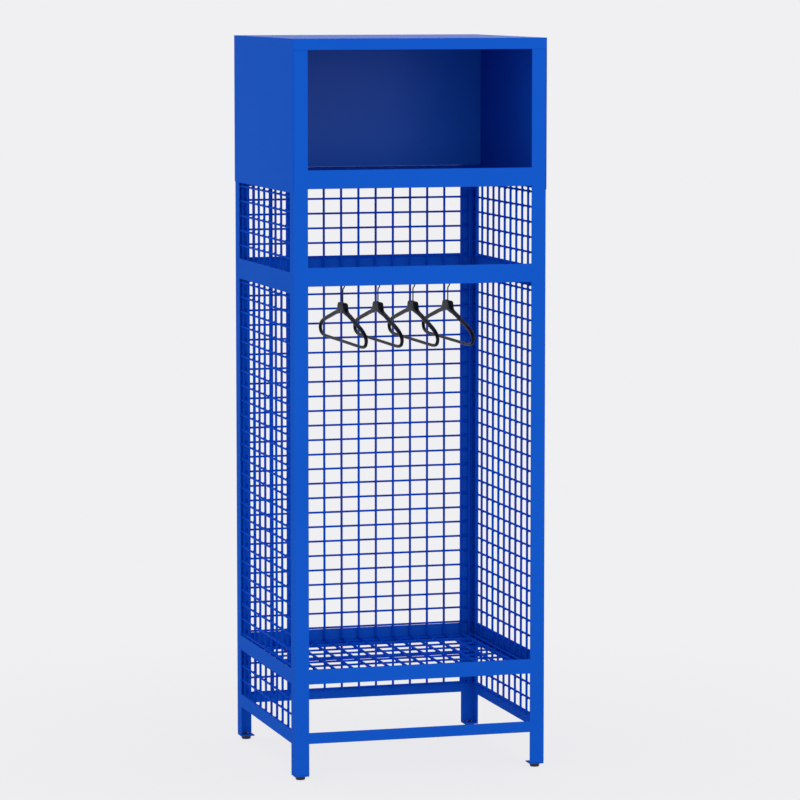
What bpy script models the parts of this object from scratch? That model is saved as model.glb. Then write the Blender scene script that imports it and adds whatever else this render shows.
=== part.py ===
"""An open mesh sports locker: a steel angle frame with welded wire mesh on its back and sides, a folded hood
over a top compartment, a mesh seat, and four hangers on a rod. Metres, +Z up, the front faces -Y, +X to the
right, origin on the floor under the middle of the footprint."""

import math

import bmesh
import bpy
import numpy as np
from mathutils import Vector

# Whole locker
WIDTH = 0.706
DEPTH = 0.650
HEIGHT = 1.990

# Stock that it is made from
ANGLE = 0.040  # leg of the equal angle of the posts, seat rails and ledges
STEEL = 0.003  # thickness of the angle, the flat bar and the plates
SHEET = 0.001  # folded sheet of the hood and the compartment
WIRE = 0.006  # wire of the mesh
GAP = 0.0003  # clearance between pieces that touch

# Heights of the levels, each the lower edge of its side rails
BOTTOM_LEVEL = 0.096
SEAT_LEVEL = 0.261
MIDDLE_LEVEL = 1.3125
FLOOR_TOP = 1.622  # upper face of the compartment floor

# Heights of the bars
BOTTOM_SIDE_BAR = 0.036
BOTTOM_CROSS_BAR = 0.030
MIDDLE_SIDE_BAR = 0.056
FRONT_BEAM = 0.050
MIDDLE_BEAM_RISE = 0.020  # middle front beam above the middle level
BEAM_LIP = 0.020  # compartment beam above the compartment floor

# Hood and compartment
HOOD_SKIRT = 0.040  # hood's sides below the compartment floor
HOOD_LIP = 0.030
BACK_SETBACK = 0.053  # compartment's back sheet in front of the locker's rear

# Feet
FOOT_HEIGHT = 0.010
FOOT_TOP_RADIUS = 0.014
FOOT_BASE_RADIUS = 0.0125
FOOT_EDGE = 0.0015
STUD_RADIUS = 0.004
STUD_CLEARANCE = 0.0004
STUD_RISE = 0.006  # stud above its plate
FOOT_SIDES = 24

# Mesh
COLUMN_PITCH = 0.0507  # upright wires of the back, and the seat wires that run front to back
COLUMN_OFFSET = 0.003
LEFT_PITCH = 0.0618
LEFT_OFFSET = -0.0209
RIGHT_PITCH = 0.0526
RIGHT_OFFSET = 0.0038
ROW_PITCH = 0.0415
SEAT_ROW_PITCH = 0.063
SEAT_ROW_OFFSET = -0.021
MAIN_ROW_RISE = 0.0045  # lowest row of the main panels above the seat rails
LOWER_ROW_DROP = 0.006  # highest row of the lower panels, more than a pitch below the seat rails
MAIN_LAP = 0.006  # main panels over the middle rails
UPPER_LAP = 0.005  # upper panels over the middle rails
LOWER_LAP = 0.006  # lower panels over the bottom rails
TOP_LAP = 0.006  # upper panels below the ledges' legs
EDGE_CELL = 0.011  # narrowest cell beside a border wire

# Hanging rod
ROD_RADIUS = 0.010
ROD_WALL = 0.0015
ROD_RISE = 0.020  # rod's axis above the lower edge of the middle rails
SOCKET_PLATE_RADIUS = 0.013
SOCKET_RADIUS = 0.012
SOCKET_PLATE = 0.003
SOCKET_DEPTH = 0.015
ROD_SIDES = 24

# Hooks
HOOK_RADIUS = 0.0225  # centre line of the ring
HOOK_WIRE_RADIUS = 0.0015
HOOK_FILLET = 0.008
HOOK_SHANK = 0.031  # straight part above the hanger
HOOK_SWEEP = math.radians(262)  # end of the ring, turned from its lowest point
HOOK_TIP_RADIUS = 0.0024
HOOK_HEAD_RADIUS = 0.003
HOOK_HEAD_HEIGHT = 0.003
HOOK_SIDES = 8
HOOK_STEPS = 26
FILLET_STEPS = 4

# Hangers
HANGER_COUNT = 4
HANGER_PITCH = 0.1005
HANGER_CENTRE = 0.0225  # middle of the row of hangers
HANGER_HALF = 0.241  # centre line, from the middle to the widest place
HANGER_DROP = 0.1065  # centre line of the trouser bar below the hub's top
HANGER_END_RADIUS = 0.0195
ARM_DROP = 0.0155  # where the arms' centre lines meet, below the hub's top
ARM_RADIUS = 0.0058
ARM_END_RADIUS = 0.0046
BAR_RADIUS = 0.0037
HANGER_SIDES = 8
END_STEPS = 9
HUB_HALF_WIDTH = 0.032
HUB_THICKNESS = 0.013
HUB_CORNER = 0.006
HUB_DEPTH = 0.0245
HUB_FLARE = 0.056  # half width where the hub runs out into the arms
HUB_BORE_RADIUS = 0.0019
HUB_POCKET_RADIUS = 0.0036
HUB_ROOF = 0.010  # plastic above the hook's head
CORNER_STEPS = 4
FLARE_STEPS = 5
BORE_SIDES = 16
CUT = 0.001  # cutters run this far past what they cut

# Faces that pieces line up with, as distances from the middle planes
FRAME_X = WIDTH / 2 - SHEET - GAP
FRAME_Y = DEPTH / 2 - SHEET - GAP
BAY_X = FRAME_X - ANGLE
BAY_Y = FRAME_Y - ANGLE
INSIDE_X = FRAME_X - STEEL - GAP
INSIDE_Y = FRAME_Y - STEEL - GAP
MESH = 2 * WIRE + GAP  # both layers of a panel
SEAT_TOP = SEAT_LEVEL + STEEL + GAP
LEDGE_TOP = FLOOR_TOP - SHEET - GAP
HOOD_UNDERSIDE = HEIGHT - SHEET
ROD_Z = MIDDLE_LEVEL + ROD_RISE
HUB_Z = (
    ROD_Z + ROD_RADIUS + GAP + HOOK_WIRE_RADIUS - HOOK_RADIUS
    - math.sqrt(HOOK_RADIUS * (HOOK_RADIUS + 2 * HOOK_FILLET)) - HOOK_SHANK
)
X, Y, Z = range(3)
LEFT, RIGHT = -1, 1
FRONT, REAR = -1, 1
DOWN, UP = -1, 1
SIDE_NAMES = {LEFT: "left", RIGHT: "right"}
END_NAMES = {FRONT: "front", REAR: "rear"}
PLACES = 7  # decimals that tell two lattice planes apart
FLAT_ANGLE = math.radians(0.1)  # faces that meet at less are one
SMOOTH_ANGLE = math.radians(40)  # edges over this stay sharp


def finish(name, colour, roughness, metallic=0.0):
    """A material of one Principled shader."""
    material = bpy.data.materials.new(name)
    material.use_nodes = True
    shader = material.node_tree.nodes["Principled BSDF"]
    shader.inputs["Base Color"].default_value = (*colour, 1.0)
    shader.inputs["Roughness"].default_value = roughness
    shader.inputs["Metallic"].default_value = metallic
    return material


def add_object(name, mesh, material, place=(0.0, 0.0, 0.0)):
    """A named object at place, with one material."""
    mesh.materials.clear()
    mesh.materials.append(material)
    made = bpy.data.objects.new(name, mesh)
    made.location = place
    bpy.context.collection.objects.link(made)
    return made


def finish_mesh(name, bm):
    """A mesh from a bmesh, with every face pointing out."""
    bmesh.ops.recalc_face_normals(bm, faces=bm.faces)
    mesh = bpy.data.meshes.new(name)
    bm.to_mesh(mesh)
    bm.free()
    return mesh


def shade_round(mesh):
    """Smooth shading, apart from the sharp edges."""
    mesh.shade_smooth()
    mesh.set_sharp_from_angle(angle=SMOOTH_ANGLE)


def mirrored(side, low, high):
    """The span from low to high on one side of a middle plane, in rising order."""
    return tuple(sorted((side * low, side * high)))


def solid_of_boxes(name, material, boxes):
    """One closed body that is the exact union of boxes along the axes, each ((x0, x1), (y0, y1), (z0, z1))."""
    spans = np.round(np.array(boxes, dtype=float), PLACES)
    lines = [np.unique(spans[:, axis]) for axis in (X, Y, Z)]
    solid = np.zeros([len(line) + 1 for line in lines], dtype=bool)
    for box in spans:
        first, last = zip(*(np.searchsorted(line, span) for line, span in zip(lines, box)))
        solid[tuple(slice(a + 1, b + 1) for a, b in zip(first, last))] = True
    centre = np.array([(line[0] + line[-1]) / 2 for line in lines])
    bm = bmesh.new()
    corners = {}

    def corner(place):
        if place not in corners:
            corners[place] = bm.verts.new([lines[a][place[a]] - centre[a] for a in (X, Y, Z)])
        return corners[place]

    for cell in np.argwhere(solid):
        for axis in (X, Y, Z):
            u, v = (axis + 1) % 3, (axis + 2) % 3
            for side in (0, 1):
                neighbour = cell.copy()
                neighbour[axis] += 2 * side - 1
                if solid[tuple(neighbour)]:
                    continue
                ring = []
                for du, dv in ((0, 0), (1, 0), (1, 1), (0, 1)):
                    place = [0, 0, 0]
                    place[axis] = cell[axis] - 1 + side
                    place[u] = cell[u] - 1 + du
                    place[v] = cell[v] - 1 + dv
                    ring.append(corner(tuple(int(p) for p in place)))
                bm.faces.new(ring if side else ring[::-1])
    bmesh.ops.dissolve_limit(bm, angle_limit=FLAT_ANGLE, verts=bm.verts, edges=bm.edges)
    return add_object(name, finish_mesh(name, bm), material, centre)


def turned_mesh(name, profile, sides, axis=Z):
    """A closed solid of revolution. profile lists (radius, height) up the axis. A profile that starts and ends on
    the axis makes a solid, and any other is closed into a ring."""
    bm = bmesh.new()
    rings = []
    for radius, height in profile:
        if radius == 0.0:
            rings.append([bm.verts.new((0.0, 0.0, height))] * sides)
            continue
        turns = [2 * math.pi * i / sides for i in range(sides)]
        rings.append([bm.verts.new((radius * math.cos(t), radius * math.sin(t), height)) for t in turns])
    pairs = list(zip(rings, rings[1:]))
    if profile[0][0] > 0.0:
        pairs.append((rings[-1], rings[0]))
    for low, high in pairs:
        for i in range(sides):
            ring = [low[i], low[(i + 1) % sides], high[(i + 1) % sides], high[i]]
            bm.faces.new(list(dict.fromkeys(ring)))
    if axis == X:
        for vert in bm.verts:
            vert.co = Vector((vert.co.z, vert.co.x, vert.co.y))
    mesh = finish_mesh(name, bm)
    shade_round(mesh)
    return mesh


def tube_mesh(name, points, radii, sides, closed=False):
    """A round tube of varying radius along a flat path of (y, z) points, closed into a loop or with flat ends."""
    count = len(points)
    bm = bmesh.new()
    rings = []
    for i, ((y, z), radius) in enumerate(zip(points, radii)):
        before = points[(i - 1) % count] if closed else points[max(i - 1, 0)]
        after = points[(i + 1) % count] if closed else points[min(i + 1, count - 1)]
        run = Vector((0.0, after[0] - before[0], after[1] - before[1])).normalized()
        across = Vector((1.0, 0.0, 0.0)).cross(run)
        ring = []
        for k in range(sides):
            turn = 2 * math.pi * (k + 0.5) / sides
            offset = radius * (math.cos(turn) * across + math.sin(turn) * Vector((1.0, 0.0, 0.0)))
            ring.append(bm.verts.new(Vector((0.0, y, z)) + offset))
        rings.append(ring)
    pairs = list(zip(rings, rings[1:]))
    if closed:
        pairs.append((rings[-1], rings[0]))
    else:
        bm.faces.new(rings[0])
        bm.faces.new(rings[-1])
    for low, high in pairs:
        for k in range(sides):
            bm.faces.new((low[k], low[(k + 1) % sides], high[(k + 1) % sides], high[k]))
    mesh = finish_mesh(name, bm)
    shade_round(mesh)
    return mesh


def slab_mesh(name, outline, thickness):
    """A flat outline of (y, z) points, drawn in order, as a slab of this thickness about x = 0."""
    bm = bmesh.new()
    face = bm.faces.new([bm.verts.new((-thickness / 2, y, z)) for y, z in outline])
    grown = bmesh.ops.extrude_face_region(bm, geom=[face])["geom"]
    moved = [item for item in grown if isinstance(item, bmesh.types.BMVert)]
    bmesh.ops.translate(bm, verts=moved, vec=(thickness, 0.0, 0.0))
    return finish_mesh(name, bm)


def combined_mesh(name, base, joined, cut):
    """The base mesh with the joined meshes added and the cut meshes taken away, by exact Booleans."""
    work = bpy.data.objects.new(name, base)
    bpy.context.collection.objects.link(work)
    helpers = []
    for operation, meshes in (("UNION", joined), ("DIFFERENCE", cut)):
        for mesh in meshes:
            helper = bpy.data.objects.new(name + "_helper", mesh)
            bpy.context.collection.objects.link(helper)
            helpers.append(helper)
            modifier = work.modifiers.new(operation.lower(), "BOOLEAN")
            modifier.operation = operation
            modifier.solver = "EXACT"
            modifier.object = helper
    bpy.context.view_layer.update()
    result = bpy.data.meshes.new_from_object(work.evaluated_get(bpy.context.evaluated_depsgraph_get()))
    for helper in (work, *helpers):
        bpy.data.objects.remove(helper)
    return result


def angle_boxes(run_axis, run, corner, inward, stands, height=ANGLE):
    """The two legs of an angle that runs along X or Y: an upright leg at corner = (outer face, edge height), and a
    level leg at that edge, which reaches inward. stands is UP where the upright leg stands on the level one."""
    outer, edge = corner
    across = Y if run_axis == X else X
    upright = [None] * 3
    level = [None] * 3
    upright[run_axis] = level[run_axis] = run
    upright[across] = tuple(sorted((outer, outer + inward * STEEL)))
    level[across] = tuple(sorted((outer, outer + inward * ANGLE)))
    upright[Z] = tuple(sorted((edge, edge + stands * height)))
    level[Z] = tuple(sorted((edge, edge + stands * STEEL)))
    return [tuple(upright), tuple(level)]


def flat_bar(run_axis, run, outer, inward, low, height):
    """A flat bar on edge, along X or Y, whose outer face is at outer."""
    box = [None] * 3
    box[run_axis] = run
    box[Y if run_axis == X else X] = tuple(sorted((outer, outer + inward * STEEL)))
    box[Z] = (low, low + height)
    return [tuple(box)]


def pitched(low, high, pitch, offset):
    """The places offset + n * pitch between low and high that leave at least an edge cell to each."""
    first = math.ceil((low + EDGE_CELL - offset) / pitch)
    last = math.floor((high - EDGE_CELL - offset) / pitch)
    return [offset + n * pitch for n in range(first, last + 1)]


def mesh_panel(name, material, axes, u_span, v_span, inner, outward, columns, rows):
    """A welded mesh panel in the plane of two axes. Wires at the columns lie in the layer that starts at inner,
    wires at the rows in the layer outward of it, and both are welded to border wires that span both layers."""
    u, v = axes
    w = X + Y + Z - u - v
    outer = inner + outward * MESH
    both_layers = tuple(sorted((inner, outer)))
    column_layer = tuple(sorted((inner, inner + outward * WIRE)))
    row_layer = tuple(sorted((outer, outer - outward * WIRE)))
    boxes = []

    def bar(u_range, v_range, w_range):
        box = [None] * 3
        box[u], box[v], box[w] = u_range, v_range, w_range
        boxes.append(tuple(box))

    for u_range in ((u_span[0], u_span[0] + WIRE), (u_span[1] - WIRE, u_span[1])):
        bar(u_range, v_span, both_layers)
    for v_range in ((v_span[0], v_span[0] + WIRE), (v_span[1] - WIRE, v_span[1])):
        bar(u_span, v_range, both_layers)
    for place in columns:
        bar((place - WIRE / 2, place + WIRE / 2), v_span, column_layer)
    for place in rows:
        bar(u_span, (place - WIRE / 2, place + WIRE / 2), row_layer)
    return solid_of_boxes(name, material, boxes)


def make_posts_and_feet(coat, black):
    """Four corner posts of angle, the plate under each, and the foot whose stud passes through the plate."""
    centre = ANGLE / 2
    plate_low = FOOT_HEIGHT
    plate_high = plate_low + STEEL
    post_span = (plate_high + GAP, HOOD_UNDERSIDE - GAP)
    hole = turned_mesh(
        "stud_hole",
        [(0.0, -CUT), (STUD_RADIUS + STUD_CLEARANCE, -CUT), (STUD_RADIUS + STUD_CLEARANCE, STEEL + CUT),
         (0.0, STEEL + CUT)],
        BORE_SIDES,
    )
    rim = plate_low - GAP
    stud_top = plate_high + STUD_RISE
    foot = turned_mesh(
        "foot",
        [(0.0, 0.0), (FOOT_BASE_RADIUS - FOOT_EDGE, 0.0), (FOOT_BASE_RADIUS, FOOT_EDGE), (FOOT_TOP_RADIUS, rim),
         (STUD_RADIUS, rim), (STUD_RADIUS, stud_top), (0.0, stud_top)],
        FOOT_SIDES,
    )
    corners = [(-centre, 0.0), (centre, 0.0), (centre, STEEL), (-centre, STEEL)]
    plate = combined_mesh("plate", slab_mesh("plate_blank", corners, ANGLE), [], [hole])
    for x_side, side in SIDE_NAMES.items():
        for y_side, end in END_NAMES.items():
            outer_x = mirrored(x_side, FRAME_X - STEEL, FRAME_X)
            outer_y = mirrored(y_side, FRAME_Y - STEEL, FRAME_Y)
            legs = [
                (outer_x, mirrored(y_side, BAY_Y, FRAME_Y), post_span),
                (mirrored(x_side, BAY_X, FRAME_X), outer_y, post_span),
            ]
            solid_of_boxes(f"post_{end}_{side}", coat, legs)
            x, y = x_side * (FRAME_X - centre), y_side * (FRAME_Y - centre)
            add_object(f"post_plate_{end}_{side}", plate.copy(), coat, (x, y, plate_low))
            add_object(f"foot_{end}_{side}", foot.copy(), black, (x, y, 0.0))


def make_rails(coat):
    """Bars between the posts at the floor, the seat, the hanging rod and the compartment floor."""
    x_run = (GAP - BAY_X, BAY_X - GAP)
    y_run = (GAP - BAY_Y, BAY_Y - GAP)
    for y_side, end in END_NAMES.items():
        outer, inward = y_side * FRAME_Y, -y_side
        low = BOTTOM_LEVEL + (BOTTOM_SIDE_BAR - BOTTOM_CROSS_BAR) / 2
        solid_of_boxes(f"bottom_rail_{end}", coat, flat_bar(X, x_run, outer, inward, low, BOTTOM_CROSS_BAR))
        solid_of_boxes(f"seat_rail_{end}", coat, angle_boxes(X, x_run, (outer, SEAT_LEVEL), inward, UP))
    for x_side, side in SIDE_NAMES.items():
        outer, inward = x_side * FRAME_X, -x_side
        solid_of_boxes(f"bottom_rail_{side}", coat,
                       flat_bar(Y, y_run, outer, inward, BOTTOM_LEVEL, BOTTOM_SIDE_BAR))
        solid_of_boxes(f"seat_rail_{side}", coat, angle_boxes(Y, y_run, (outer, SEAT_LEVEL), inward, UP))
        solid_of_boxes(f"middle_rail_{side}", coat,
                       flat_bar(Y, y_run, outer, inward, MIDDLE_LEVEL, MIDDLE_SIDE_BAR))
        solid_of_boxes(f"compartment_ledge_{side}", coat,
                       angle_boxes(Y, y_run, (outer, LEDGE_TOP), inward, DOWN))
    solid_of_boxes("middle_rail_rear", coat,
                   flat_bar(X, x_run, FRAME_Y, FRONT, MIDDLE_LEVEL, MIDDLE_SIDE_BAR))
    solid_of_boxes("compartment_rail_rear", coat, angle_boxes(X, x_run, (FRAME_Y, LEDGE_TOP), FRONT, DOWN))
    beams = {
        "middle_beam_front": MIDDLE_LEVEL + MIDDLE_BEAM_RISE,
        "compartment_beam_front": FLOOR_TOP + BEAM_LIP - FRONT_BEAM,
    }
    for name, low in beams.items():
        solid_of_boxes(name, coat, angle_boxes(X, x_run, (-FRAME_Y, low), REAR, UP, FRONT_BEAM))


def make_compartment(coat):
    """The folded hood, and the floor and back sheets of the compartment under it."""
    half_x, half_y = WIDTH / 2, DEPTH / 2
    full_x, full_y = (-half_x, half_x), (-half_y, half_y)
    hood = [(full_x, full_y, (HOOD_UNDERSIDE, HEIGHT))]
    for x_side in SIDE_NAMES:
        hood.append((mirrored(x_side, half_x - SHEET, half_x), full_y, (FLOOR_TOP - HOOD_SKIRT, HEIGHT)))
    for y_side in END_NAMES:
        hood.append((full_x, mirrored(y_side, half_y - SHEET, half_y), (HEIGHT - HOOD_LIP, HEIGHT)))
    solid_of_boxes("hood", coat, hood)
    floor_z = (FLOOR_TOP - SHEET, FLOOR_TOP)
    solid_of_boxes("compartment_floor", coat, [
        ((-INSIDE_X, INSIDE_X), (-INSIDE_Y, INSIDE_Y), floor_z),
        ((-FRAME_X, FRAME_X), (GAP - BAY_Y, BAY_Y - GAP), floor_z),
    ])
    back_y = half_y - BACK_SETBACK
    solid_of_boxes("compartment_back", coat, [
        ((-FRAME_X, FRAME_X), (back_y, back_y + SHEET), (FLOOR_TOP + GAP, HOOD_UNDERSIDE - GAP)),
    ])


def make_mesh(coat):
    """Nine wall panels, one per bay of the back and the sides, and the seat grid."""
    top = LEDGE_TOP - STEEL - TOP_LAP
    middle_top = MIDDLE_LEVEL + MIDDLE_SIDE_BAR
    spans = {
        "lower": (BOTTOM_LEVEL + BOTTOM_SIDE_BAR - LOWER_LAP, SEAT_LEVEL - GAP),
        "main": (SEAT_TOP, MIDDLE_LEVEL + MAIN_LAP),
        "upper": (middle_top - UPPER_LAP - WIRE / 2, top),
    }
    rows = {
        "lower": pitched(*spans["lower"], ROW_PITCH, SEAT_LEVEL - ROW_PITCH - LOWER_ROW_DROP),
        "main": pitched(*spans["main"], ROW_PITCH, SEAT_LEVEL + ANGLE + MAIN_ROW_RISE),
        "upper": pitched(*spans["upper"], ROW_PITCH, middle_top - UPPER_LAP + ROW_PITCH),
    }
    low, high = spans["upper"]
    back_spans = spans | {"upper": (low - ROW_PITCH, high)}
    back_rows = rows | {"upper": [low + WIRE / 2] + rows["upper"]}
    inner_x = INSIDE_X - MESH - GAP
    back_columns = pitched(-inner_x, inner_x, COLUMN_PITCH, COLUMN_OFFSET)
    side_columns = {
        LEFT: pitched(-INSIDE_Y, INSIDE_Y, LEFT_PITCH, LEFT_OFFSET),
        RIGHT: pitched(-INSIDE_Y, INSIDE_Y, RIGHT_PITCH, RIGHT_OFFSET),
    }
    for level, z_span in spans.items():
        mesh_panel(f"mesh_back_{level}", coat, (X, Z), (-inner_x, inner_x), back_spans[level], INSIDE_Y - MESH,
                   REAR, back_columns, back_rows[level])
        for x_side, side in SIDE_NAMES.items():
            mesh_panel(f"mesh_{side}_{level}", coat, (Y, Z), (-INSIDE_Y, INSIDE_Y), z_span,
                       x_side * (INSIDE_X - MESH), x_side, side_columns[x_side], rows[level])
    y_span = (-INSIDE_Y, INSIDE_Y - MESH - GAP)
    mesh_panel("seat_grid", coat, (X, Y), (-inner_x, inner_x), y_span, SEAT_TOP + MESH, DOWN,
               back_columns, pitched(*y_span, SEAT_ROW_PITCH, SEAT_ROW_OFFSET))


def make_rod(coat):
    """The hanging rod, a tube, and the socket that holds each end on a side rail."""
    half = INSIDE_X - SOCKET_PLATE - GAP
    bore = ROD_RADIUS - ROD_WALL
    rod = turned_mesh("rod", [(bore, -half), (ROD_RADIUS, -half), (ROD_RADIUS, half), (bore, half)], ROD_SIDES, X)
    add_object("hanging_rod", rod, coat, (0.0, 0.0, ROD_Z))
    seat = ROD_RADIUS + GAP
    for x_side, side in SIDE_NAMES.items():
        stations = [
            (0.0, INSIDE_X), (SOCKET_PLATE_RADIUS, INSIDE_X), (SOCKET_PLATE_RADIUS, INSIDE_X - SOCKET_PLATE),
            (SOCKET_RADIUS, INSIDE_X - SOCKET_PLATE), (SOCKET_RADIUS, INSIDE_X - SOCKET_DEPTH),
            (seat, INSIDE_X - SOCKET_DEPTH), (seat, INSIDE_X - SOCKET_PLATE), (0.0, INSIDE_X - SOCKET_PLATE),
        ]
        profile = [(radius, x_side * place) for radius, place in stations]
        socket = turned_mesh(f"socket_{side}", profile, ROD_SIDES, X)
        add_object(f"rod_socket_{side}", socket, coat, (0.0, 0.0, ROD_Z))


def hook_path():
    """The hook's centre line in (y, z) from its head up, and its radius along it. Heights are from the rod's axis.
    The shank's fillet touches the ring from outside, so both turn at one point between their centres."""
    ring_z = ROD_RADIUS + GAP + HOOK_WIRE_RADIUS - HOOK_RADIUS
    fillet_z = ring_z - math.sqrt(HOOK_RADIUS * (HOOK_RADIUS + 2 * HOOK_FILLET))
    lean = math.asin(HOOK_FILLET / (HOOK_RADIUS + HOOK_FILLET))
    head_top = HUB_Z - ROD_Z - HUB_ROOF - GAP
    points = [(0.0, head_top - HOOK_HEAD_HEIGHT), (0.0, head_top), (0.0, head_top), (0.0, fillet_z)]
    radii = [HOOK_HEAD_RADIUS, HOOK_HEAD_RADIUS, HOOK_WIRE_RADIUS, HOOK_WIRE_RADIUS]
    for i in range(1, FILLET_STEPS):
        turn = (math.pi / 2 - lean) * i / FILLET_STEPS
        points.append((HOOK_FILLET * (math.cos(turn) - 1), fillet_z + HOOK_FILLET * math.sin(turn)))
        radii.append(HOOK_WIRE_RADIUS)
    for i in range(HOOK_STEPS + 1):
        turn = lean + (HOOK_SWEEP - lean) * i / HOOK_STEPS
        points.append((-HOOK_RADIUS * math.sin(turn), ring_z - HOOK_RADIUS * math.cos(turn)))
        radii.append(HOOK_WIRE_RADIUS)
    radii[-2] = HOOK_TIP_RADIUS
    return points, radii


def hanger_path():
    """The closed centre line of a hanger's arms, rounded ends and trouser bar in (y, z) under the hub's top, with
    its radius at each point. The arms are the tangents from where they meet to the end circles."""
    centre_y = HANGER_HALF - HANGER_END_RADIUS
    centre_z = HANGER_END_RADIUS - HANGER_DROP
    reach = math.hypot(centre_y, centre_z + ARM_DROP)
    slope = math.atan2(-centre_z - ARM_DROP, centre_y) - math.asin(HANGER_END_RADIUS / reach)
    half = []
    for i in range(END_STEPS + 1):
        share = i / END_STEPS
        turn = math.pi / 2 - slope - (math.pi - slope) * share
        place = (centre_y + HANGER_END_RADIUS * math.cos(turn), centre_z + HANGER_END_RADIUS * math.sin(turn))
        half.append((place, ARM_END_RADIUS + (BAR_RADIUS - ARM_END_RADIUS) * share))
    apex = ((0.0, -ARM_DROP), ARM_RADIUS)
    other = [((-y, z), radius) for (y, z), radius in reversed(half)]
    return zip(*([apex] + half + other))


def hub_outline():
    """The hub seen along X, in (y, z) under its top: rounded upper corners, flared sides and a shallow arch."""
    edge = []
    for i in range(CORNER_STEPS + 1):
        turn = math.pi / 2 * (1 - i / CORNER_STEPS)
        edge.append((HUB_HALF_WIDTH - HUB_CORNER * (1 - math.cos(turn)), HUB_CORNER * (math.sin(turn) - 1)))
    run_out = ARM_DROP + (HANGER_DROP - ARM_DROP) * HUB_FLARE / HANGER_HALF / 2
    start, bend, end = edge[-1], (HUB_HALF_WIDTH, ARM_RADIUS - run_out), (HUB_FLARE, -run_out)
    for i in range(1, FLARE_STEPS + 1):
        s = i / FLARE_STEPS
        edge.append(tuple((1 - s) ** 2 * a + 2 * s * (1 - s) * b + s * s * c for a, b, c in zip(start, bend, end)))
    edge.append((HUB_HALF_WIDTH / 2, -HUB_DEPTH))
    return edge + [(-y, z) for y, z in reversed(edge)]


def make_hangers(plastic, wire):
    """Hooks on the rod, and the hanger that swivels on each hook's head."""
    points, radii = hook_path()
    hook = tube_mesh("hook", points, radii, HOOK_SIDES)
    points, radii = hanger_path()
    loop = tube_mesh("loop", points, radii, HANGER_SIDES, closed=True)
    hub = slab_mesh("hub", hub_outline(), HUB_THICKNESS)
    bore = turned_mesh(
        "bore",
        [(0.0, -HUB_DEPTH - ARM_RADIUS - CUT), (HUB_POCKET_RADIUS, -HUB_DEPTH - ARM_RADIUS - CUT),
         (HUB_POCKET_RADIUS, -HUB_ROOF), (HUB_BORE_RADIUS, -HUB_ROOF), (HUB_BORE_RADIUS, CUT), (0.0, CUT)],
        BORE_SIDES,
    )
    hanger = combined_mesh("hanger", loop, [hub], [bore])
    for number in range(1, HANGER_COUNT + 1):
        x = HANGER_CENTRE + HANGER_PITCH * (number - (HANGER_COUNT + 1) / 2)
        add_object(f"hook_{number}", hook.copy(), wire, (x, 0.0, ROD_Z))
        add_object(f"hanger_{number}", hanger.copy(), plastic, (x, 0.0, HUB_Z))


def main():
    for item in list(bpy.data.objects):
        bpy.data.objects.remove(item)
    coat = finish("blue powder coat", (0.006, 0.095, 0.560), 0.38)
    wire_coat = finish("blue powder coat on wire", (0.004, 0.060, 0.420), 0.42)
    black = finish("black foot plastic", (0.012, 0.012, 0.014), 0.6)
    plastic = finish("hanger plastic", (0.020, 0.020, 0.024), 0.45)
    steel = finish("hook wire", (0.10, 0.10, 0.11), 0.35, 0.9)
    make_posts_and_feet(coat, black)
    make_rails(coat)
    make_compartment(coat)
    make_mesh(wire_coat)
    make_rod(coat)
    make_hangers(plastic, steel)


main()
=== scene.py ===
"""The looks of an open mesh sports locker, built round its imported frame: welded round-wire mesh, dressed weld
seams, powder coat, a steel rod and four moulded hangers. Metres, in the frame's own axes."""

import math

import bmesh
import bpy
import numpy as np
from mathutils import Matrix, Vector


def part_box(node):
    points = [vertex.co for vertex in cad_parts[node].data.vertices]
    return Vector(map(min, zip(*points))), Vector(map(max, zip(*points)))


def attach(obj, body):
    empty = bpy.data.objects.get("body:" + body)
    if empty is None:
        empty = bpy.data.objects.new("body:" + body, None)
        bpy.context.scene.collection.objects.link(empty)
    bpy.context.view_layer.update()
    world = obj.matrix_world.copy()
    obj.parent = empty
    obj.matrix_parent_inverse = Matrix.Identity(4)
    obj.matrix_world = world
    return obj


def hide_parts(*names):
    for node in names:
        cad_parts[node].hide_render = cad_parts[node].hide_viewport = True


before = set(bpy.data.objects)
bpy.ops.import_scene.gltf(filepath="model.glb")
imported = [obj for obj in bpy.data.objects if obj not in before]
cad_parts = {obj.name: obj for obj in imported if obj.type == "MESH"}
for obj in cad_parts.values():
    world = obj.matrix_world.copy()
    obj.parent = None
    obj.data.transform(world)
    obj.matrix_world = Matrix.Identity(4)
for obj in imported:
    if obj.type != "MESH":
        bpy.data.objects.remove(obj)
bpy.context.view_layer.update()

X, Y, Z = range(3)

# Frame steel
STEEL = 0.003
COAT_EDGE = 0.0009  # rounding that the coat gives to a cut edge
SHEET_EDGE = 0.0004
EDGE_STEPS = 3
EDGE_ANGLE = math.radians(40)  # edges that turn more are rounded
(BAY_X, BAY_Y, _), (FRAME_X, FRAME_Y, _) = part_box("post_rear_right")  # leg edges and outer faces of a post
CAD_MERGE = 0.00001  # corners of a CAD solid closer than this are one

# New surfaces
MERGE = 0.000002  # points of one surface closer than this are one
SHARP_ANGLE = math.radians(38)  # edges that turn more stay sharp
NEAR_UPRIGHT = 0.9  # cosine of a bar's lean
CORNER_SHARE = 0.45  # most of a profile's edge that one rounded corner takes up

# Dressed weld seams
SEAM_HALF = 0.0032
SEAM_RISE = 0.00006
SEAM_INSET = 0.0004  # from the rail's edges
SEAM_SHARES = (0.0, 0.35, 0.6, 0.8, 0.93, 1.0, 0.8, 0.0)  # of the way to the rim, over the top and back below
SEAM_SINK = (-0.0002, -0.0012, -0.0012)  # height of the last three
SEAM_POWER = 8
SEAM_SIDES = 40

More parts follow.
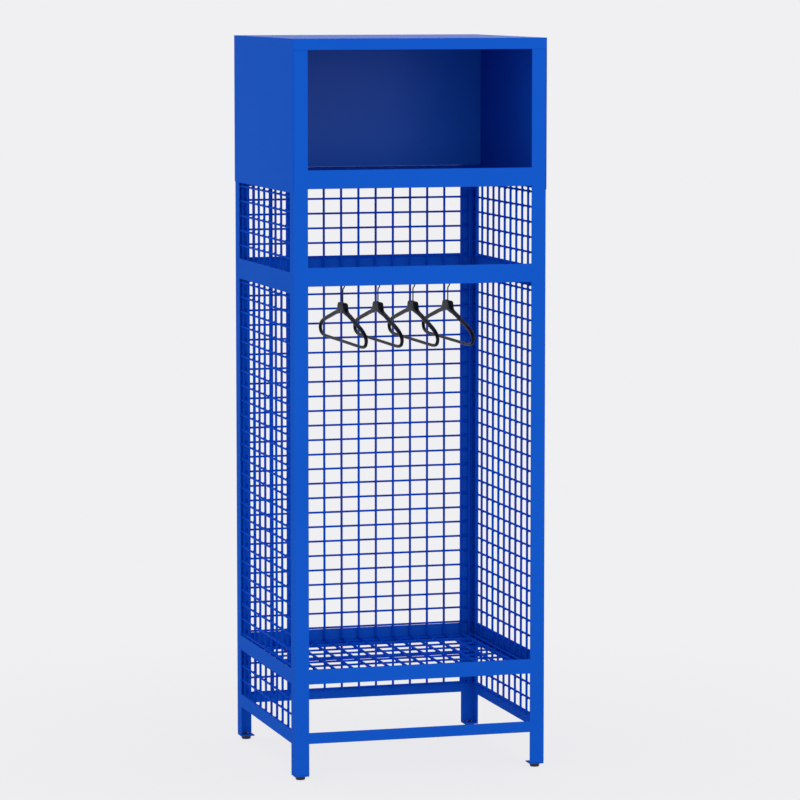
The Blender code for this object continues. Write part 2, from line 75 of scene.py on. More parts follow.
# Mesh
COLUMN_WIRE = 0.0034  # radius of the wires of the inner layer
ROW_WIRE = 0.0029  # radius of the wires of the outer layer
COLUMN_PITCH, COLUMN_OFFSET = 0.0507, 0.003
LEFT_PITCH, LEFT_OFFSET = 0.0618, -0.0209
RIGHT_PITCH, RIGHT_OFFSET = 0.0526, 0.0038
ROW_PITCH = 0.0415
ROW_OFFSETS = {"lower": 0.2135, "main": 0.3055, "upper": 1.405}
SEAT_PITCH, SEAT_OFFSET = 0.063, -0.021
EDGE_CELL = 0.011
NUGGET = (0.0048, 0.0034)  # weld nugget: radius in the plane of the panel, and across it
TACK = (0.0050, 0.0018)  # weld of a wire's end to the frame
BEAD_LATITUDES = (-90.0, -38.0, 0.0, 38.0, 90.0)
TACK_SINK = 0.0003
TACK_INSET = 0.012  # from the panel's edge
END_TURNS = (0.0, 0.45, 0.8, 1.0)  # of a quarter turn, where a wire's end is rounded
END_LENGTH = 0.5  # length of that rounding, to the wire's radius

# Rod and its sockets
ROD_Z = float(np.mean([corner[Z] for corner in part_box("hanging_rod")]))
ROD_RADIUS = 0.010
ROD_WALL = 0.0015
ROD_EDGE = 0.0004
SOCKET_PLATE_RADIUS = 0.013
SOCKET_RADIUS = 0.012
SOCKET_BORE = 0.0103
SOCKET_EDGE = 0.0007

# Feet: (radius, height) of the pad, of the stud's thread and of its end
FOOT_INSET = 0.020
FOOT_EDGE = 0.0009
PAD_TOP, STUD_TOP = 0.0097, 0.019
STUD_RADIUS, THREAD_DEPTH, THREAD_STEP = 0.004, 0.0005, 0.0006
FOOT_PAD = ((0, 0), (0.0122, 0), (0.0126, 0.0018), (0.0139, 0.0070), (0.0139, PAD_TOP), (0.0041, PAD_TOP))
STUD_THREAD = [(STUD_RADIUS - THREAD_DEPTH * (n % 2), PAD_TOP + THREAD_STEP * n) for n in range(15)]
STUD_END = [(0.0034, STUD_TOP), (0, STUD_TOP)]

# Hooks and hangers
HOOK_RADIUS = 0.0225
HOOK_WIRE = 0.0018
HOOK_TIP = (0.0018, 0.0021, 0.0024, 0.0024, 0.0018, 0.0)  # radii at the ball tip
HOOK_FILLET = 0.008
HOOK_SWEEP = math.radians(262)
HOOK_CLEARANCE = 0.0003
HEAD_DEPTH = 0.0103  # end of the shank below the hub's top
SHANK_POINTS, FILLET_POINTS, RING_POINTS = 6, 10, 60
HOOK_SIDES = 14
HANGER_X = [float(np.mean([corner[X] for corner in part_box(f"hanger_{n}")])) for n in range(1, 5)]
HUB_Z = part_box("hanger_1")[1][Z]
HANGER_STEPS = 7  # on each span between two sections
HANGER_SIDES = 24


# Surfaces

def bake_mesh(name, sheets, material):
    """One mesh from grids of points. Each sheet has the shape (..., rows, columns, 3). Its columns run round
    and close on themselves, and its first and last rows are poles or the same ring."""
    points, faces, first = [], [], 0
    for sheet in sheets:
        rows, columns = sheet.shape[-3:-1]
        index = first + np.arange(sheet[..., 0].size).reshape(-1, rows, columns)
        after = np.roll(index, -1, axis=2)
        quads = np.stack([index[:, :-1], after[:, :-1], after[:, 1:], index[:, 1:]], axis=-1)
        points.append(sheet.reshape(-1, 3))
        faces.append(quads.reshape(-1, 4))
        first += index.size
    mesh = bpy.data.meshes.new(name)
    mesh.from_pydata(np.concatenate(points), [], np.concatenate(faces))
    bm = bmesh.new()
    bm.from_mesh(mesh)
    bmesh.ops.remove_doubles(bm, verts=bm.verts, dist=MERGE)
    bmesh.ops.recalc_face_normals(bm, faces=bm.faces)
    bm.to_mesh(mesh)
    bm.free()
    mesh.shade_smooth()
    mesh.set_sharp_from_angle(angle=SHARP_ANGLE)
    mesh.materials.append(material)
    return mesh


def place(mesh, body, slot, *replaced):
    """An object for the mesh that rides on a body and stands for CAD nodes, which it hides. The slot is not
    used.
    """
    piece = bpy.data.objects.new(mesh.name, mesh)
    bpy.context.scene.collection.objects.link(piece)
    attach(piece, body)
    if replaced:
        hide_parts(*replaced)


def round_turn(sides):
    """Angles of one full turn, half a step off the axes."""
    return 2 * np.pi * (np.arange(sides) + 0.5) / sides


def rods(starts, ends, radius, sides=10):
    """Straight round bars between two arrays of points: centre + r(s) (a cos t + b sin t), where r(s) rises
    from nothing over a quarter of an ellipse at each end."""
    starts, ends = np.atleast_2d(starts), np.atleast_2d(ends)
    run = ends - starts
    length = np.linalg.norm(run, axis=1, keepdims=True)
    run = run / length
    helper = np.where(np.abs(run[:, Z:]) > NEAR_UPRIGHT, [[1.0, 0.0, 0.0]], [[0.0, 0.0, 1.0]])
    a = np.cross(run, helper)
    a /= np.linalg.norm(a, axis=1, keepdims=True)
    b = np.cross(run, a)
    bend = np.array(END_TURNS) * np.pi / 2
    rise = radius * np.sin(bend)
    step = END_LENGTH * radius * (1 - np.cos(bend))
    radii = np.concatenate([rise, rise[::-1]])
    along = np.concatenate([np.broadcast_to(step, (len(run), len(step))), length - step[::-1]], axis=1)
    turn = round_turn(sides)
    around = a[:, None, :] * np.cos(turn)[:, None] + b[:, None, :] * np.sin(turn)[:, None]
    centres = starts[:, None, :] + along[..., None] * run[:, None, :]
    return centres[:, :, None, :] + radii[None, :, None, None] * around[:, None, :, :]


def beads(centres, normal, flat, tall, sides=8):
    """Flattened balls at an array of points: latitude f and turn t give flat cos f (cos t, sin t) in the
    plane across normal, and tall sin f along it."""
    normal = np.asarray(normal, dtype=float)
    a = np.roll(normal, 1)
    b = np.cross(normal, a)
    latitude = np.radians(BEAD_LATITUDES)
    turn = round_turn(sides)
    ring = a * np.cos(turn)[:, None] + b * np.sin(turn)[:, None]
    shape = flat * np.cos(latitude)[:, None, None] * ring + tall * np.sin(latitude)[:, None, None] * normal
    return np.atleast_2d(centres)[:, None, None, :] + shape


def turned(profile, axis, centre, sides=40):
    """A surface of revolution: (radius, height) of the profile swept round an axis through centre."""
    profile = np.asarray(profile, dtype=float)
    turn = round_turn(sides)
    shape = np.zeros((len(profile), sides, 3))
    shape[..., (axis + 1) % 3] = profile[:, :1] * np.cos(turn)
    shape[..., (axis + 2) % 3] = profile[:, :1] * np.sin(turn)
    shape[..., axis] = profile[:, 1:]
    return shape + np.asarray(centre)


def rounded_corner(profile, radius, steps=5):
    """A profile of (radius, height) points with each inner corner replaced by a quadratic curve that starts
    and ends at most radius from it."""
    profile = np.asarray(profile, dtype=float)
    share = np.linspace(0, 1, steps)[:, None]
    out = [profile[:1]]
    for before, corner, after in zip(profile, profile[1:], profile[2:]):
        length_in, length_out = np.linalg.norm(before - corner), np.linalg.norm(after - corner)
        start = corner + (before - corner) / length_in * min(radius, CORNER_SHARE * length_in)
        end = corner + (after - corner) / length_out * min(radius, CORNER_SHARE * length_out)
        out.append((1 - share) ** 2 * start + 2 * share * (1 - share) * corner + share ** 2 * end)
    return np.concatenate(out + [profile[-1:]])


def superellipse(sides, power):
    """(u, v) round one turn of a superellipse: cos t and sin t, each with its size to the power 2 / power."""
    turn = round_turn(sides)
    return tuple(np.sign(side) * np.abs(side) ** (2 / power) for side in (np.cos(turn), np.sin(turn)))


def swept(path, radii, sides):
    """A round tube along a path in a plane across X: centre + r(s) (n cos t + x sin t), where x is a unit
    along X and n is x crossed with the path's direction."""
    across = np.array([1.0, 0.0, 0.0])
    run = np.gradient(path, axis=0)
    run /= np.linalg.norm(run, axis=1, keepdims=True)
    normal = np.cross(across, run)
    turn = round_turn(sides)[:, None]
    ring = normal[:, None, :] * np.cos(turn) + across * np.sin(turn)
    return path[:, None, :] + radii[:, None, None] * ring


def seam_pads(centres, flat_axis, normal_axis, outward, half):
    """Upright superellipse pads of this half height: at the share p of the way to the rim they stand
    rise (1 - p^2) above the steel, and their underside is sunk into the joint."""
    u, v = superellipse(SEAM_SIDES, SEAM_POWER)
    share = np.array(SEAM_SHARES)
    height = SEAM_RISE * (1 - share ** 2)
    height[-len(SEAM_SINK):] = SEAM_SINK
    shape = np.zeros((len(centres), len(share), SEAM_SIDES, 3))
    shape[..., flat_axis] = SEAM_HALF * share[:, None] * u
    shape[..., Z] = half * share[:, None] * v
    shape[..., normal_axis] = outward * height[:, None]
    return shape + np.asarray(centres)[:, None, None, :]


# Materials

CLOUD_DETAIL = 3.0
CLOUD_BAND = (0.32, 0.68)  # of the noise, stretched over the two tones
PEEL_DETAIL = 2.0
NIB_SCALE = 55.0
NIB_RADIUS = 0.045  # in cells of the nibs' pattern
NIB_HEIGHT = 0.6


def build_grain():
    """A group for a moulded or sprayed skin: soft clouds of tone, a fine peel and stray nibs."""
    group = bpy.data.node_groups.new("skin_grain", "ShaderNodeTree")
    for name, kind in (("Vector", "NodeSocketVector"), ("Colour", "NodeSocketColor"),
                       ("Shade", "NodeSocketColor"), ("Cloud Scale", "NodeSocketFloat"),
                       ("Peel Scale", "NodeSocketFloat"),
                       ("Low Roughness", "NodeSocketFloat"), ("High Roughness", "NodeSocketFloat")):
        group.interface.new_socket(name, in_out="INPUT", socket_type=kind)
    for name, kind in (("Colour", "NodeSocketColor"), ("Roughness", "NodeSocketFloat"),
                       ("Height", "NodeSocketFloat")):
        group.interface.new_socket(name, in_out="OUTPUT", socket_type=kind)
    make, link = group.nodes.new, group.links.new
    put_in, put_out = make("NodeGroupInput"), make("NodeGroupOutput")
    cloud = make("ShaderNodeTexNoise")
    cloud.inputs["Detail"].default_value = CLOUD_DETAIL
    link(put_in.outputs["Vector"], cloud.inputs["Vector"])
    link(put_in.outputs["Cloud Scale"], cloud.inputs["Scale"])
    spread = make("ShaderNodeMapRange")
    spread.inputs["From Min"].default_value, spread.inputs["From Max"].default_value = CLOUD_BAND
    link(cloud.outputs["Fac"], spread.inputs["Value"])
    tone = make("ShaderNodeMix")
    tone.data_type = "RGBA"
    link(spread.outputs["Result"], tone.inputs["Factor"])
    link(put_in.outputs["Colour"], tone.inputs["A"])
    link(put_in.outputs["Shade"], tone.inputs["B"])
    link(tone.outputs["Result"], put_out.inputs["Colour"])
    peel = make("ShaderNodeTexNoise")
    peel.inputs["Detail"].default_value = PEEL_DETAIL
    link(put_in.outputs["Vector"], peel.inputs["Vector"])
    link(put_in.outputs["Peel Scale"], peel.inputs["Scale"])
    matt = make("ShaderNodeMix")
    link(peel.outputs["Fac"], matt.inputs["Factor"])
    link(put_in.outputs["Low Roughness"], matt.inputs["A"])
    link(put_in.outputs["High Roughness"], matt.inputs["B"])
    link(matt.outputs["Result"], put_out.inputs["Roughness"])
    nibs = make("ShaderNodeTexVoronoi")
    nibs.inputs["Scale"].default_value = NIB_SCALE
    link(put_in.outputs["Vector"], nibs.inputs["Vector"])
    nib = make("ShaderNodeMapRange")
    nib.interpolation_type = "SMOOTHSTEP"
    nib.inputs["From Min"].default_value = NIB_RADIUS
    nib.inputs["From Max"].default_value = 0.0
    nib.inputs["To Max"].default_value = NIB_HEIGHT
    link(nibs.outputs["Distance"], nib.inputs["Value"])
    height = make("ShaderNodeMath")
    height.operation = "ADD"
    link(peel.outputs["Fac"], height.inputs[0])
    link(nib.outputs["Result"], height.inputs[1])
    link(height.outputs["Value"], put_out.inputs["Height"])
    return group


def skin(name, colour, shade, cloud, peel, roughness, bump, specular=0.5, metallic=0.0):
    """A material whose colour, roughness and bump come from the grain group on Object coordinates: two tones,
    the scales of clouds and peel, the band of roughness, and the bump's strength and depth."""
    material = bpy.data.materials.new(name)
    material.use_nodes = True
    tree = material.node_tree
    shader = tree.nodes["Principled BSDF"]
    shader.inputs["Metallic"].default_value = metallic
    shader.inputs["Specular IOR Level"].default_value = specular
    where = tree.nodes.new("ShaderNodeTexCoord")
    node = tree.nodes.new("ShaderNodeGroup")
    node.node_tree = grain
    node.inputs["Colour"].default_value = (*colour, 1.0)
    node.inputs["Shade"].default_value = (*shade, 1.0)
    node.inputs["Cloud Scale"].default_value = cloud
    node.inputs["Peel Scale"].default_value = peel
    node.inputs["Low Roughness"].default_value, node.inputs["High Roughness"].default_value = roughness
    relief = tree.nodes.new("ShaderNodeBump")
    relief.inputs["Strength"].default_value = bump[0]
    relief.inputs["Distance"].default_value = bump[1]
    tree.links.new(where.outputs["Object"], node.inputs["Vector"])
    tree.links.new(node.outputs["Colour"], shader.inputs["Base Color"])
    tree.links.new(node.outputs["Roughness"], shader.inputs["Roughness"])
    tree.links.new(node.outputs["Height"], relief.inputs["Height"])
    tree.links.new(relief.outputs["Normal"], shader.inputs["Normal"])
    return material


grain = build_grain()
coat = skin("blue_powder_coat", colour=(0.0085, 0.108, 0.640), shade=(0.0070, 0.100, 0.600), cloud=2.3,
            peel=620.0, roughness=(0.16, 0.26), bump=(0.25, 0.0002), specular=0.0006)
# The compartment's back wall: a copy of the frame's coat with a lighter, greener tone as painted sheen; it is
# also glossier.
sheen_lit_back_coat = skin("sheen_lit_blue_coat", colour=(0.0085, 0.128, 0.640), shade=(0.0070, 0.120, 0.600), cloud=2.3,
                 peel=620.0, roughness=(0.30, 0.40), bump=(0.10, 0.0002), specular=0.15)
# The wires: a darker copy of the frame's coat, with the shade round thin round wires painted into its tone.
shade_darkened_wire_coat = skin("shade_darkened_blue_wire_coat", colour=(0.0030, 0.076, 0.610), shade=(0.0022, 0.066, 0.550), cloud=9.0,
                 peel=700.0, roughness=(0.18, 0.28), bump=(0.25, 0.0002), specular=0.001)
rubber = skin("black_foot_plastic", colour=(0.011, 0.011, 0.013), shade=(0.017, 0.017, 0.019), cloud=60.0,
              peel=900.0, roughness=(0.50, 0.68), bump=(0.40, 0.0003), specular=0.4)
plastic = skin("charcoal_hanger_plastic", colour=(0.0032, 0.0040, 0.0075), shade=(0.0052, 0.0062, 0.0105),
               cloud=30.0, peel=1100.0, roughness=(0.34, 0.46), bump=(0.30, 0.0002), specular=0.12)
steel = skin("dark_hook_steel", colour=(0.045, 0.045, 0.050), shade=(0.022, 0.022, 0.026), cloud=120.0,
             peel=1500.0, roughness=(0.22, 0.36), bump=(0.20, 0.0001), metallic=1.0)


# Frame and sheets that stay

RAIL_STARTS = ("bottom_rail_", "seat_rail_", "middle_", "compartment_beam_", "compartment_rail_",
               "compartment_ledge_")
RAILS = [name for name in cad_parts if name.startswith(RAIL_STARTS)]
SHEETS = ["hood", "compartment_floor", "compartment_back"]
POSTS = [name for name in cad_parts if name.startswith("post_")]

for name in POSTS + RAILS + SHEETS:
    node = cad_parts[name]
    node.data.materials.clear()
    # the compartment's back wall takes the coat copy with painted sheen
    node.data.materials.append(sheen_lit_back_coat if name == "compartment_back" else coat)
    weld = node.modifiers.new("join_corners", "WELD")
    weld.merge_threshold = CAD_MERGE
    bevel = node.modifiers.new("coated_edges", "BEVEL")
    bevel.width = SHEET_EDGE if name in SHEETS else COAT_EDGE
    bevel.segments = EDGE_STEPS
    bevel.limit_method = "ANGLE"
    bevel.angle_limit = EDGE_ANGLE


def make_seams():
    """A dressed seam over each joint between a post and a rail, outside and inside."""
    sheets = []
    for name in RAILS:
        low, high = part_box(name)
        run_axis = X if high[X] - low[X] > high[Y] - low[Y] else Y
        across = Y if run_axis == X else X
        outward = 1 if abs(high[across]) > abs(low[across]) else -1
        face = outward * (FRAME_Y if across == Y else FRAME_X)
        joint = BAY_X if run_axis == X else BAY_Y
        middle = (low[Z] + high[Z]) / 2
        half = (high[Z] - low[Z]) / 2 - SEAM_INSET
        for depth, side in ((face, outward), (face - outward * STEEL, -outward)):
            centres = np.zeros((2, 3))
            centres[:, run_axis] = -joint, joint
            centres[:, across] = depth
            centres[:, Z] = middle
            sheets.append(seam_pads(centres, run_axis, across, side, half))
    place(bake_mesh("dressed_weld_seams", sheets, coat), "locker", "coat")


make_seams()


# Welded mesh

def pitched(low, high, wire, pitch, offset):
    """The places offset + n pitch that keep an edge cell from each end, with the two edge wires."""
    first = math.ceil((low + EDGE_CELL - offset) / pitch)
    last = math.floor((high - EDGE_CELL - offset) / pitch)
    return np.concatenate([[low + wire], offset + np.arange(first, last + 1) * pitch, [high - wire]])


def lattice(u, v, w, first, second, depth):
    """Points (n, 3) for every pair of places on two axes, at one depth on the third."""
    points = np.zeros((len(first) * len(second), 3))
    points[:, u] = np.repeat(first, len(second))
    points[:, v] = np.tile(second, len(first))
    points[:, w] = depth
    return points


def make_panel(name, u, v, outward, u_pitch, v_pitch):
    """Wires along v at each place on u in the inner layer, wires along u in the outer one, a nugget where two
    cross, and a tack to the frame near both ends of each wire of the outer layer."""
    low, high = (np.array(corner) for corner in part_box(name))
    w = X + Y + Z - u - v
    inner, outer = (low[w], high[w]) if outward > 0 else (high[w], low[w])
    columns = pitched(low[u], high[u], COLUMN_WIRE, *u_pitch)
    rows = pitched(low[v], high[v], ROW_WIRE, *v_pitch)
    column_depth, row_depth = inner + outward * COLUMN_WIRE, outer - outward * ROW_WIRE
    normal = np.zeros(3)
    normal[w] = outward
    uprights = rods(lattice(u, v, w, columns, low[v:v + 1], column_depth),
                    lattice(u, v, w, columns, high[v:v + 1], column_depth), COLUMN_WIRE)
    levels = rods(lattice(u, v, w, low[u:u + 1], rows, row_depth),
                  lattice(u, v, w, high[u:u + 1], rows, row_depth), ROW_WIRE)
    nuggets = beads(lattice(u, v, w, columns, rows, (column_depth + row_depth) / 2), normal, *NUGGET)
    edge = np.array([low[u] + TACK_INSET, high[u] - TACK_INSET])
    tacks = beads(lattice(u, v, w, edge, rows, outer - outward * TACK_SINK), normal, *TACK)
    sheets = [uprights, levels, nuggets, tacks]
    place(bake_mesh(name.replace("mesh", "wires", 1), sheets, shade_darkened_wire_coat), "locker", "wire", name)


for level, row_offset in ROW_OFFSETS.items():
    row_pitch = (ROW_PITCH, row_offset)
    make_panel(f"mesh_back_{level}", X, Z, 1, (COLUMN_PITCH, COLUMN_OFFSET), row_pitch)
    make_panel(f"mesh_left_{level}", Y, Z, -1, (LEFT_PITCH, LEFT_OFFSET), row_pitch)
    make_panel(f"mesh_right_{level}", Y, Z, 1, (RIGHT_PITCH, RIGHT_OFFSET), row_pitch)


def make_seat():
    """The seat grid: wires front to back on top, wires across under them, nuggets, and tacks to the rails."""
    low, high = (np.array(corner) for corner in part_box("seat_grid"))
    columns = pitched(low[X], high[X], COLUMN_WIRE, COLUMN_PITCH, COLUMN_OFFSET)
    rows = pitched(low[Y], high[Y], ROW_WIRE, SEAT_PITCH, SEAT_OFFSET)
    top, under = high[Z] - COLUMN_WIRE, low[Z] + ROW_WIRE
    edge = np.array([low[X] + TACK_INSET, high[X] - TACK_INSET])
    touch = low[Z] + TACK_SINK
    sheets = [
        rods(lattice(X, Y, Z, columns, low[Y:Z], top),
             lattice(X, Y, Z, columns, high[Y:Z], top), COLUMN_WIRE),
        rods(lattice(X, Y, Z, low[X:Y], rows, under),
             lattice(X, Y, Z, high[X:Y], rows, under), ROW_WIRE),
        beads(lattice(X, Y, Z, columns, rows, (top + under) / 2), (0, 0, 1), *NUGGET),
        beads(lattice(X, Y, Z, columns[1:-1], rows[[0, -1]], touch), (0, 0, 1), *TACK),
        beads(lattice(X, Y, Z, edge, rows, touch), (0, 0, 1), *TACK),
    ]
    place(bake_mesh("seat_wires", sheets, shade_darkened_wire_coat), "locker", "wire", "seat_grid")


make_seat()


# Rod, sockets and feet

def make_rod():
    """The rod's tube as one turned profile: the bore, the rim at each end and the outside."""
    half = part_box("hanging_rod")[1][X]
    bore = ROD_RADIUS - ROD_WALL
    profile = rounded_corner([(bore, 0), (bore, -half), (ROD_RADIUS, -half), (ROD_RADIUS, 0),
                              (ROD_RADIUS, half), (bore, half), (bore, 0)], ROD_EDGE)
    mesh = bake_mesh("steel_rod", [turned(profile, X, (0, 0, ROD_Z))], coat)
    place(mesh, "locker", "coat", "hanging_rod")


def make_socket(side, sign):
    """A cup for one end of the rod as one turned profile: the plate on the rail, the cup and its bore."""
    low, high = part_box(f"rod_socket_{side}")
    face, lip = (high[X], low[X]) if sign > 0 else (low[X], high[X])
    step = face - sign * STEEL
    profile = rounded_corner([(0, face), (SOCKET_PLATE_RADIUS, face), (SOCKET_PLATE_RADIUS, step),
                              (SOCKET_RADIUS, step), (SOCKET_RADIUS, lip), (SOCKET_BORE, lip),
                              (SOCKET_BORE, step), (0, step)], SOCKET_EDGE)
    mesh = bake_mesh(f"rod_cup_{side}", [turned(profile, X, (0, 0, ROD_Z))], coat)
    place(mesh, "locker", "coat", f"rod_socket_{side}")


def make_foot(end, side, centre):
    """A foot as one turned profile: the pad on the floor and the threaded stud through its plate."""
    profile = np.concatenate([rounded_corner(FOOT_PAD, FOOT_EDGE), STUD_THREAD, STUD_END])
    mesh = bake_mesh(f"foot_pad_{end}_{side}", [turned(profile, Z, centre)], rubber)
    place(mesh, "locker", "foot", f"foot_{end}_{side}")


make_rod()
for side, sign in (("left", -1), ("right", 1)):
    make_socket(side, sign)
for end, y in (("front", FOOT_INSET - FRAME_Y), ("rear", FRAME_Y - FOOT_INSET)):
    for side, x in (("left", FOOT_INSET - FRAME_X), ("right", FRAME_X - FOOT_INSET)):
        make_foot(end, side, (x, y, 0))


# Hooks and hangers

def hook_sheet(x):
    """The hook: a straight shank, a small fillet and a ring about the rod that ends in a ball tip.
    The shank's fillet touches the ring from outside, so both turn at one point between their centres."""
    ring_z = ROD_RADIUS + HOOK_CLEARANCE + HOOK_WIRE - HOOK_RADIUS
    fillet_z = ring_z - math.sqrt(HOOK_RADIUS * (HOOK_RADIUS + 2 * HOOK_FILLET))
    lean = math.asin(HOOK_FILLET / (HOOK_RADIUS + HOOK_FILLET))
    head = HUB_Z - ROD_Z - HEAD_DEPTH
    shank = np.stack([np.zeros(SHANK_POINTS), np.linspace(head, fillet_z, SHANK_POINTS)], axis=1)
    turn = np.linspace(0, math.pi / 2 - lean, FILLET_POINTS)[1:-1]
    fillet = np.stack([HOOK_FILLET * (np.cos(turn) - 1), fillet_z + HOOK_FILLET * np.sin(turn)], axis=1)
    turn = np.linspace(lean, HOOK_SWEEP, RING_POINTS)
    ring = np.stack([-HOOK_RADIUS * np.sin(turn), ring_z - HOOK_RADIUS * np.cos(turn)], axis=1)
    flat = np.concatenate([shank, fillet, ring])
    path = np.column_stack([np.full(len(flat), x), flat[:, 0], flat[:, 1] + ROD_Z])
    radii = np.full(len(path), HOOK_WIRE)
    radii[-len(HOOK_TIP):] = HOOK_TIP
    radii[0] = 0.0
    return swept(path, radii, HOOK_SIDES)


# One half of a hanger, as sections from the hub's middle to the trouser bar's: outer (y, z), inner (y, z),
# half thickness across, and power of the superellipse.
HUB_SECTIONS = (
    (0.0000, 0.0000, 0.0000, -0.0264, 0.0078, 5.5),
    (0.0150, 0.0000, 0.0070, -0.0267, 0.0078, 5.5),
    (0.0255, -0.0004, 0.0120, -0.0273, 0.0078, 5.5),
    (0.0305, -0.0028, 0.0165, -0.0281, 0.0077, 5.2),
    (0.0335, -0.0078, 0.0220, -0.0292, 0.0074, 4.6),
    (0.0368, -0.0140, 0.0285, -0.0306, 0.0070, 3.8),
    (0.0430, -0.0194, 0.0370, -0.0325, 0.0066, 3.0),
    (0.0560, -0.0236, 0.0520, -0.0345, 0.0065, 2.6),
)
# The arm, the rounded end and the bar: centre (y, z), half height, half thickness and power.
LOOP_SECTIONS = (
    (0.0800, -0.0341, 0.0052, 0.0065, 2.4),
    (0.1200, -0.0434, 0.0051, 0.0064, 2.4),
    (0.1600, -0.0527, 0.0050, 0.0062, 2.4),
    (0.1950, -0.0612, 0.0049, 0.0058, 2.4),
    (0.2180, -0.0690, 0.0049, 0.0054, 2.3),
    (0.2330, -0.0768, 0.0049, 0.0051, 2.2),
    (0.2395, -0.0862, 0.0048, 0.0048, 2.2),
    (0.2350, -0.0957, 0.0046, 0.0046, 2.2),
    (0.2200, -0.1026, 0.0044, 0.0044, 2.2),
    (0.1950, -0.1058, 0.0042, 0.0042, 2.2),
    (0.1500, -0.1065, 0.0041, 0.0041, 2.2),
    (0.0750, -0.1065, 0.0041, 0.0041, 2.2),
    (0.0000, -0.1065, 0.0041, 0.0041, 2.2),
)


def curve(keys, steps):
    """A smooth line through rows of values: on each span, the cubic whose ends take the slope of a parabola
    through a row and its two neighbours, against the way that the first four columns have gone."""
    run = np.concatenate([[0.0], np.cumsum(np.linalg.norm(np.diff(keys[:, :4], axis=0), axis=1))])
    slope = np.gradient(keys, run, axis=0)
    gap = np.diff(run)[:, None, None]
    s = np.linspace(0, 1, steps, endpoint=False)[:, None]
    spans = ((2 * s ** 3 - 3 * s ** 2 + 1) * keys[:-1, None] + (3 * s ** 2 - 2 * s ** 3) * keys[1:, None]
             + gap * ((s ** 3 - 2 * s ** 2 + s) * slope[:-1, None] + (s ** 3 - s ** 2) * slope[1:, None]))
    return np.concatenate([spans.reshape(-1, keys.shape[1]), keys[-1:]])


def hanger_sheet(x):
    """The hanger as one closed loft through hub, arms, ends and bar. Each section is the superellipse
    centre + u (outer - inner) / 2 + v w along X, between an outer and an inner line in the hanger's plane."""
    loop = np.array(LOOP_SECTIONS)
    run = np.gradient(loop[:, :2], axis=0)
    run /= np.linalg.norm(run, axis=1, keepdims=True)
    outward = np.column_stack([-run[:, 1], run[:, 0]]) * loop[:, 2:3]
    arms = np.column_stack([loop[:, :2] + outward, loop[:, :2] - outward, loop[:, 3:]])
    half = curve(np.concatenate([HUB_SECTIONS, arms]), HANGER_STEPS)
    other = half[-2::-1] * [-1, 1, -1, 1, 1, 1]
    rows = np.concatenate([half, other])
    u, v = superellipse(HANGER_SIDES, rows[:, 5:])
    centre, reach = (rows[:, :2] + rows[:, 2:4]) / 2, (rows[:, :2] - rows[:, 2:4]) / 2
    return np.stack([x + rows[:, 4:5] * v, centre[:, :1] + reach[:, :1] * u,
                     HUB_Z + centre[:, 1:] + reach[:, 1:] * u], axis=-1)


for number, x in enumerate(HANGER_X, 1):
    hook = bake_mesh(f"wire_hook_{number}", [hook_sheet(x)], steel)
    place(hook, f"sliding_hook_{number}", "hook", f"hook_{number}")
    hanger = bake_mesh(f"moulded_hanger_{number}", [hanger_sheet(x)], plastic)
    place(hanger, f"swivel_hanger_{number}", "hanger", f"hanger_{number}")


# Stage, light and camera

PALE = (0.871, 0.871, 0.888)
FLOOR_TONE = (0.82, 0.82, 0.83)
FLOOR_RADIUS = 14.0
FLOOR_SHARES = (0.0, 0.4, 1.0)  # of the radius, where its rings lie
FLOOR_SIDES = 64
FADE_BAND = (0.6, 2.4)  # distances from the middle between which the floor turns into the background
NEAR_SHARE = 0.88  # of the background's look, close to the locker
WORLD_STRENGTH = 0.82
CAMERA_DIP, CAMERA_TURN = 0.1055, 0.2810


def make_floor():
    """A round pale floor that takes light and shadow near the locker and fades to the background beyond."""
    turn = round_turn(FLOOR_SIDES)
    ring = np.stack([np.cos(turn), np.sin(turn), np.zeros(FLOOR_SIDES)], axis=-1)
    points = np.array(FLOOR_SHARES)[:, None, None] * ring * FLOOR_RADIUS
    material = bpy.data.materials.new("pale_floor")
    material.use_nodes = True
    tree = material.node_tree
    tree.nodes.clear()
    make, link = tree.nodes.new, tree.links.new
    out, matt, glow, mixed = (make("ShaderNode" + kind) for kind in
                              ("OutputMaterial", "BsdfDiffuse", "Emission", "MixShader"))
    matt.inputs["Color"].default_value = (*FLOOR_TONE, 1.0)
    glow.inputs["Color"].default_value = (*PALE, 1.0)
    where, reach, fade = make("ShaderNodeTexCoord"), make("ShaderNodeVectorMath"), make("ShaderNodeMapRange")
    reach.operation = "LENGTH"
    fade.interpolation_type = "SMOOTHSTEP"
    fade.inputs["From Min"].default_value, fade.inputs["From Max"].default_value = FADE_BAND
    fade.inputs["To Min"].default_value = NEAR_SHARE
    rays, seen, share = make("ShaderNodeLightPath"), make("ShaderNodeMath"), make("ShaderNodeMath")
    seen.operation, share.operation = "MAXIMUM", "MULTIPLY"
    link(where.outputs["Object"], reach.inputs[0])
    link(reach.outputs["Value"], fade.inputs["Value"])
    link(rays.outputs["Is Camera Ray"], seen.inputs[0])
    link(rays.outputs["Is Glossy Ray"], seen.inputs[1])
    link(seen.outputs["Value"], share.inputs[0])
    link(fade.outputs["Result"], share.inputs[1])
    link(share.outputs["Value"], mixed.inputs["Fac"])
    link(matt.outputs["BSDF"], mixed.inputs[1])
    link(glow.outputs["Emission"], mixed.inputs[2])
    link(mixed.outputs["Shader"], out.inputs["Surface"])
    floor = bpy.data.objects.new("pale_floor", bake_mesh("pale_floor", [points], material))
    bpy.context.scene.collection.objects.link(floor)


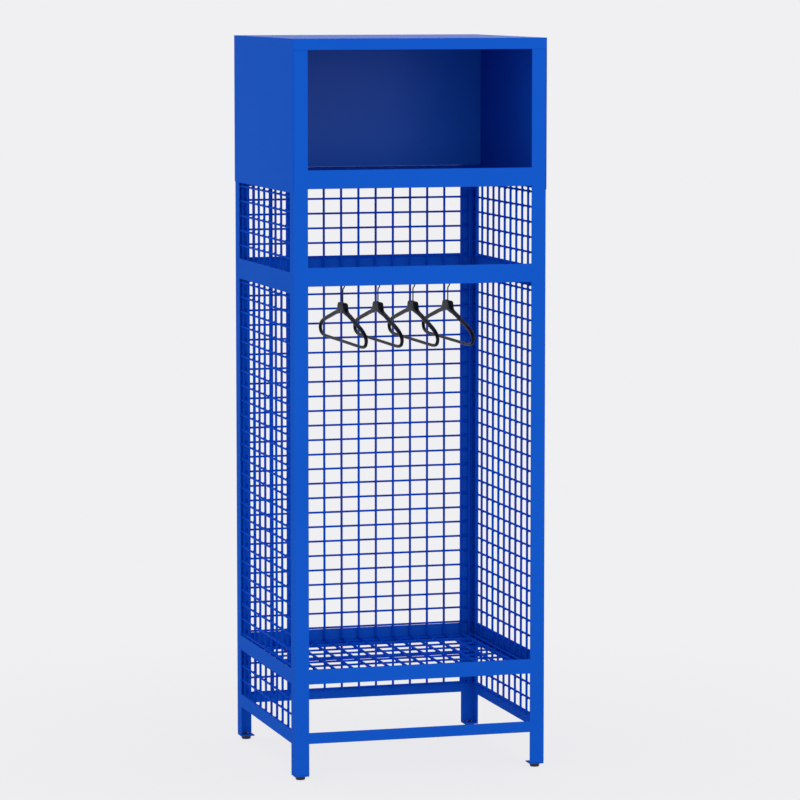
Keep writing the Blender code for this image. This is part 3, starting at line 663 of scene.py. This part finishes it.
def make_world():
    """Soft light from all round. What the camera and reflections see of it is the pale background."""
    world = bpy.data.worlds.new("studio")
    bpy.context.scene.world = world
    world.use_nodes = True
    tree = world.node_tree
    tree.nodes.clear()
    make, link = tree.nodes.new, tree.links.new
    out, light, seen, mixed = (make("ShaderNode" + kind) for kind in
                               ("OutputWorld", "Background", "Background", "MixShader"))
    light.inputs["Color"].default_value = (1.0, 1.0, 1.0, 1.0)
    light.inputs["Strength"].default_value = WORLD_STRENGTH
    seen.inputs["Color"].default_value = (*PALE, 1.0)
    rays, either, any_of = make("ShaderNodeLightPath"), make("ShaderNodeMath"), make("ShaderNodeMath")
    either.operation = any_of.operation = "MAXIMUM"
    link(rays.outputs["Is Camera Ray"], either.inputs[0])
    link(rays.outputs["Is Glossy Ray"], either.inputs[1])
    link(either.outputs["Value"], any_of.inputs[0])
    link(rays.outputs["Is Transmission Ray"], any_of.inputs[1])
    link(any_of.outputs["Value"], mixed.inputs["Fac"])
    link(light.outputs["Background"], mixed.inputs[1])
    link(seen.outputs["Background"], mixed.inputs[2])
    link(mixed.outputs["Shader"], out.inputs["Surface"])


def add_lamp(name, place_at, aim, size, power):
    """A square soft lamp at a point, turned to face another."""
    data = bpy.data.lights.new(name, "AREA")
    data.size = size
    data.energy = power
    lamp = bpy.data.objects.new(name, data)
    lamp.location = place_at
    way = np.array(aim, dtype=float) - place_at
    flat = math.hypot(way[X], way[Y])
    lamp.rotation_euler = (math.atan2(flat, -way[Z]), 0.0, math.atan2(-way[X], way[Y]))
    bpy.context.scene.collection.objects.link(lamp)


make_floor()
make_world()
add_lamp("front_lamp", place_at=(0.5, -7.5, 3.2), aim=(0.0, 0.0, 0.8), size=5.0, power=95.0)

camera = bpy.data.objects.new("camera", bpy.data.cameras.new("camera"))
camera.data.sensor_width = 36.0
camera.data.lens = 179.97
camera.data.clip_end = 100.0
camera.location = (-3.0180, -10.5791, 2.1531)
camera.rotation_euler = (math.pi / 2 - CAMERA_DIP, 0.0, -CAMERA_TURN)
bpy.context.scene.collection.objects.link(camera)
bpy.context.scene.camera = camera
bpy.context.scene.view_settings.view_transform = "Standard"
